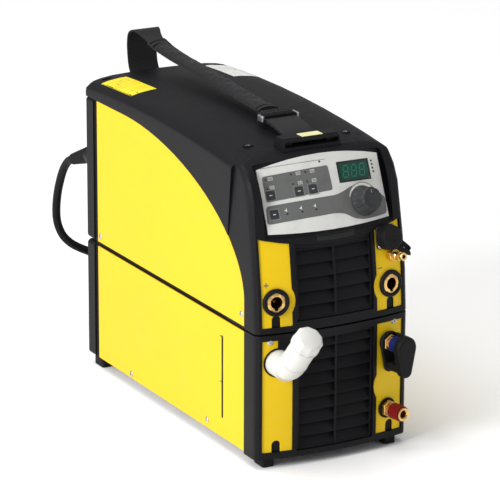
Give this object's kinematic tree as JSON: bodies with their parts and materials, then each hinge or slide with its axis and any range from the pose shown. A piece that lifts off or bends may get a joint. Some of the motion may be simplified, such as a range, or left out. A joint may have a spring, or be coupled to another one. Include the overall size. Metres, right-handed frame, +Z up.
{
  "type": "TIG welding machine",
  "caption": "Portable TIG welding inverter standing on its own water cooler, with a bowed front of louvres and fittings, a leaning control panel, a padded carrying strap and a mains lead",
  "frame": {"origin": "middle of the machine's footprint, on the floor, leaving out the mains lead", "axes": "+Z up, the control panel faces -Y, +X is the side of the red and blue couplings"},
  "size_m": [0.2145, 0.6452, 0.3834],
  "materials": {
    "black_moulding": "textured black moulding",
    "yellow_paint": "yellow powder coat",
    "grey_label": "printed membrane label",
    "display": "glossy tinted window",
    "dark_keys": "dark grey moulding",
    "brass": "turned brass",
    "white_plastic": "translucent white moulding",
    "blue_plastic": "blue moulding",
    "red_plastic": "red moulding",
    "rubber": "black rubber",
    "webbing": "woven black webbing",
    "steel": "zinc plated sheet",
    "aluminium": "plain aluminium",
    "board": "green circuit board"
  },
  "bodies": {
    "machine": {"control_label": "grey_label", "display_window": "display", "control_board": "board", "socket_ring_plus": "black_moulding", "socket_contact_plus": "brass", "socket_ring_minus": "black_moulding", "socket_contact_minus": "brass", "remote_connector": "dark_keys", "gas_outlet": "brass", "filler_neck": "white_plastic", "coupling_blue": "brass", "coupling_cover": "rubber", "coupling_red": "brass", "front_plate_upper_left": "yellow_paint", "front_plate_upper_right": "yellow_paint", "front_plate_lower_left": "yellow_paint", "front_plate_lower_right": "yellow_paint", "front_frame_lower": "black_moulding", "front_frame_upper": "black_moulding", "front_grille_lower": "black_moulding", "front_grille_upper": "black_moulding", "side_panel_upper_right": "yellow_paint", "side_panel_upper_left": "yellow_paint", "side_panel_lower_right": "yellow_paint", "side_panel_lower_left": "yellow_paint", "top_cover": "black_moulding", "strap_anchor": "black_moulding", "rear_frame_lower": "black_moulding", "rear_frame_upper": "black_moulding", "base_plate": "steel", "deck_plate": "steel", "foot_front_left": "rubber", "foot_front_right": "rubber", "foot_rear_left": "rubber", "foot_rear_right": "rubber", "gas_inlet": "brass", "heat_sink": "aluminium", "transformer": "steel", "coolant_tank": "white_plastic", "pump": "dark_keys", "radiator": "aluminium", "carry_strap": "webbing", "strap_pad": "webbing", "strap_slider": "steel", "cable_gland": "black_moulding", "mains_cord": "rubber", "cord_coil": "rubber", "mains_plug": "rubber"},
    "knob": {"control_knob": "dark_keys"},
    "process_key": {"button_process": "dark_keys"},
    "trigger_key": {"button_trigger": "dark_keys"},
    "pulse_key": {"button_pulse": "dark_keys"},
    "menu_key": {"button_menu": "dark_keys"},
    "cap": {"filler_cap": "white_plastic"},
    "dust_cap": {"remote_cap": "rubber"},
    "blue_sleeve": {"sleeve_blue": "blue_plastic"},
    "red_sleeve": {"sleeve_red": "red_plastic"},
    "switch": {"mains_switch": "black_moulding"},
    "upper_rotor": {"fan_upper": "black_moulding"},
    "lower_rotor": {"fan_lower": "black_moulding"}
  },
  "joints": [
    {"name": "knob_turn", "type": "hinge", "parent": "machine", "child": "knob", "pos_m": [0.0445, -0.18391, 0.27848], "axis": [0.1035, -0.9121, 0.3966], "continuous": true},
    {"name": "process_key_press", "type": "slide", "parent": "machine", "child": "process_key", "axis": [0.1477, 0.907, -0.3944], "range_m": [0, 0.0005], "stiffness_N_per_m": 800, "springref_m": -0.0005},
    {"name": "trigger_key_press", "type": "slide", "parent": "machine", "child": "trigger_key", "axis": [0.0721, 0.9147, -0.3977], "range_m": [0, 0.0005], "stiffness_N_per_m": 800, "springref_m": -0.0005},
    {"name": "pulse_key_press", "type": "slide", "parent": "machine", "child": "pulse_key", "axis": [0.0337, 0.9165, -0.3985], "range_m": [0, 0.0005], "stiffness_N_per_m": 800, "springref_m": -0.0005},
    {"name": "menu_key_press", "type": "slide", "parent": "machine", "child": "menu_key", "axis": [0.1477, 0.907, -0.3944], "range_m": [0, 0.0005], "stiffness_N_per_m": 800, "springref_m": -0.0005},
    {"name": "filler_cap_turn", "type": "hinge", "parent": "machine", "child": "cap", "pos_m": [-0.0685, -0.26282, 0.16186], "axis": [0, -0.6691, 0.7431], "range_deg": [0, 540]},
    {"name": "dust_cap_pull", "type": "slide", "parent": "machine", "child": "dust_cap", "axis": [0.1529, -0.9768, 0.1501], "range_m": [0, 0.012]},
    {"name": "blue_sleeve_slide", "type": "slide", "parent": "machine", "child": "blue_sleeve", "axis": [-0.1547, 0.988, 0], "range_m": [0, 0.004], "stiffness_N_per_m": 600, "springref_m": -0.001},
    {"name": "red_sleeve_slide", "type": "slide", "parent": "machine", "child": "red_sleeve", "axis": [-0.1547, 0.988, 0], "range_m": [0, 0.004], "stiffness_N_per_m": 600, "springref_m": -0.001},
    {"name": "mains_switch_turn", "type": "hinge", "parent": "machine", "child": "switch", "pos_m": [0.062, 0.20636, 0.296], "axis": [0, 1, 0], "range_deg": [0, 90]},
    {"name": "upper_fan_spin", "type": "hinge", "parent": "machine", "child": "upper_rotor", "pos_m": [0.012, 0.16836, 0.238], "axis": [0, 1, 0], "continuous": true},
    {"name": "lower_fan_spin", "type": "hinge", "parent": "machine", "child": "lower_rotor", "pos_m": [0.008, 0.16836, 0.081], "axis": [0, 1, 0], "continuous": true}
  ]
}
